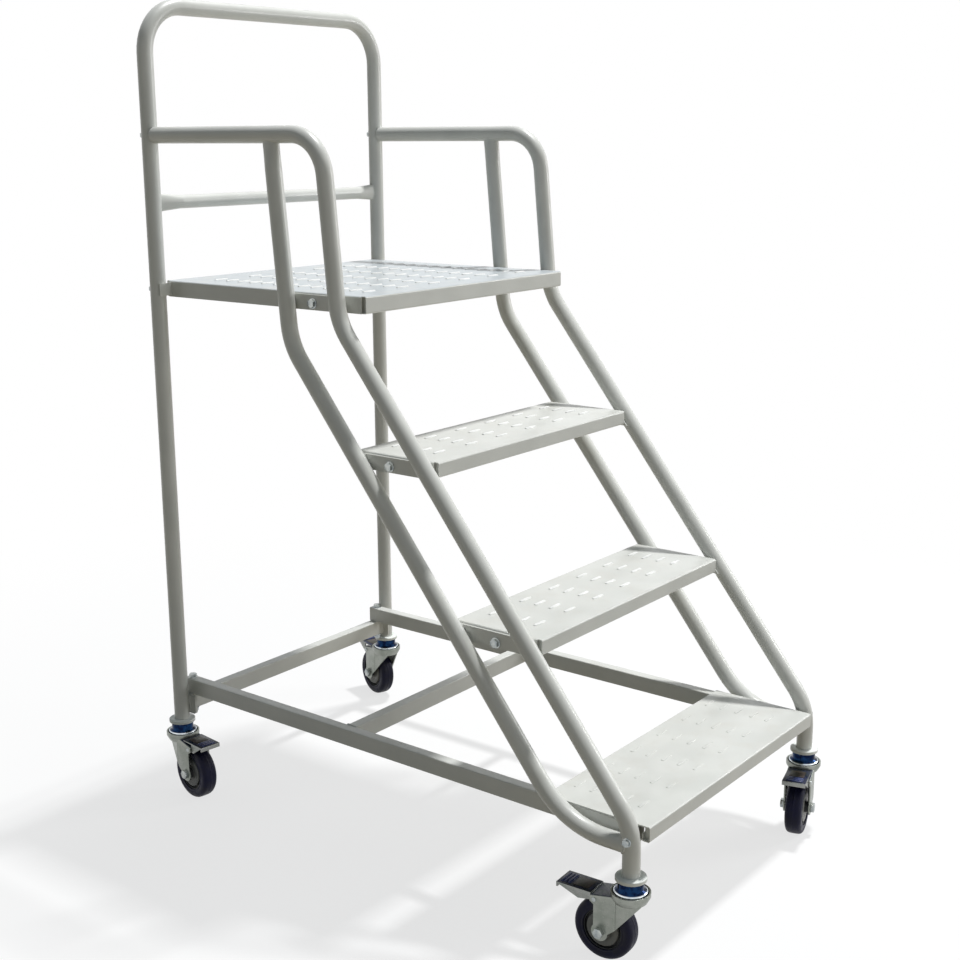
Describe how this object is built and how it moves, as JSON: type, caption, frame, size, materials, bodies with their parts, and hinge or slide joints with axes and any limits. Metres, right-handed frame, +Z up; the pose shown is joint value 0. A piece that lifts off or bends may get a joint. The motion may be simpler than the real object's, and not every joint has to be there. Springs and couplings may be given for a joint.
{
  "type": "rolling platform step ladder",
  "caption": "Rolling step ladder: welded round-tube frame, folded steel treads and platform, side hand rails, back guard, braked swivel casters.",
  "frame": {"origin": "on the floor, under the middle of the overall box", "axes": "+Z up, -Y towards the climber who comes up the stairs, +X the climber's right"},
  "size_m": [0.6681, 1.1369, 1.451],
  "materials": {
    "paint": "light warm grey powder coat, semi-gloss",
    "zinc": "bright bluish zinc plate",
    "collar_plastic": "pale grey moulded plastic",
    "hub_plastic": "mid grey moulded plastic",
    "tyre_rubber": "dark blue-black rubber"
  },
  "bodies": {
    "frame": {"rear_frame": "paint", "guard_mid_bar": "paint", "outer_tube_left": "paint", "inner_tube_left": "paint", "base_rail_left": "paint", "platform_bracket_left": "paint", "lower_bracket_left": "paint", "upper_bracket_left": "paint", "outer_tube_right": "paint", "inner_tube_right": "paint", "base_rail_right": "paint", "platform_bracket_right": "paint", "lower_bracket_right": "paint", "upper_bracket_right": "paint", "rear_crossbar": "paint", "mid_crossbar": "paint", "platform": "paint", "bottom_tread": "paint", "lower_tread": "paint", "upper_tread": "paint", "front_left_collar": "collar_plastic", "front_left_caster_head": "zinc", "rear_left_collar": "collar_plastic", "rear_left_caster_head": "zinc", "rear_right_collar": "collar_plastic", "rear_right_caster_head": "zinc", "front_right_collar": "collar_plastic", "front_right_caster_head": "zinc"},
    "front_left_swivel": {"front_left_fork": "zinc", "front_left_pedal": "zinc", "front_left_axle": "zinc"},
    "front_left_wheel": {"front_left_hub": "hub_plastic", "front_left_tyre": "tyre_rubber"},
    "rear_left_swivel": {"rear_left_fork": "zinc", "rear_left_pedal": "zinc", "rear_left_axle": "zinc"},
    "rear_left_wheel": {"rear_left_hub": "hub_plastic", "rear_left_tyre": "tyre_rubber"},
    "rear_right_swivel": {"rear_right_fork": "zinc", "rear_right_pedal": "zinc", "rear_right_axle": "zinc"},
    "rear_right_wheel": {"rear_right_hub": "hub_plastic", "rear_right_tyre": "tyre_rubber"},
    "front_right_swivel": {"front_right_fork": "zinc", "front_right_pedal": "zinc", "front_right_axle": "zinc"},
    "front_right_wheel": {"front_right_hub": "hub_plastic", "front_right_tyre": "tyre_rubber"}
  },
  "joints": [
    {"name": "front_left_swivel_turn", "type": "hinge", "parent": "frame", "child": "front_left_swivel", "pos_m": [-0.292, -0.527, 0.106], "axis": [0, 0, 1], "continuous": true},
    {"name": "front_left_wheel_spin", "type": "hinge", "parent": "front_left_swivel", "child": "front_left_wheel", "pos_m": [-0.29479, -0.4871, 0.05], "axis": [-0.9976, -0.0698, 0], "continuous": true},
    {"name": "rear_left_swivel_turn", "type": "hinge", "parent": "frame", "child": "rear_left_swivel", "pos_m": [-0.292, 0.473, 0.106], "axis": [0, 0, 1], "continuous": true},
    {"name": "rear_left_wheel_spin", "type": "hinge", "parent": "rear_left_swivel", "child": "rear_left_wheel", "pos_m": [-0.29757, 0.43339, 0.05], "axis": [0.9903, -0.1392, 0], "continuous": true},
    {"name": "rear_right_swivel_turn", "type": "hinge", "parent": "frame", "child": "rear_right_swivel", "pos_m": [0.292, 0.473, 0.106], "axis": [0, 0, 1], "continuous": true},
    {"name": "rear_right_wheel_spin", "type": "hinge", "parent": "rear_right_swivel", "child": "rear_right_wheel", "pos_m": [0.30436, 0.51104, 0.05], "axis": [-0.9511, 0.309, 0], "continuous": true},
    {"name": "front_right_swivel_turn", "type": "hinge", "parent": "frame", "child": "front_right_swivel", "pos_m": [0.292, -0.527, 0.106], "axis": [0, 0, 1], "continuous": true},
    {"name": "front_right_wheel_spin", "type": "hinge", "parent": "front_right_swivel", "child": "front_right_wheel", "pos_m": [0.25336, -0.53735, 0.05], "axis": [0.2588, -0.9659, 0], "continuous": true}
  ]
}
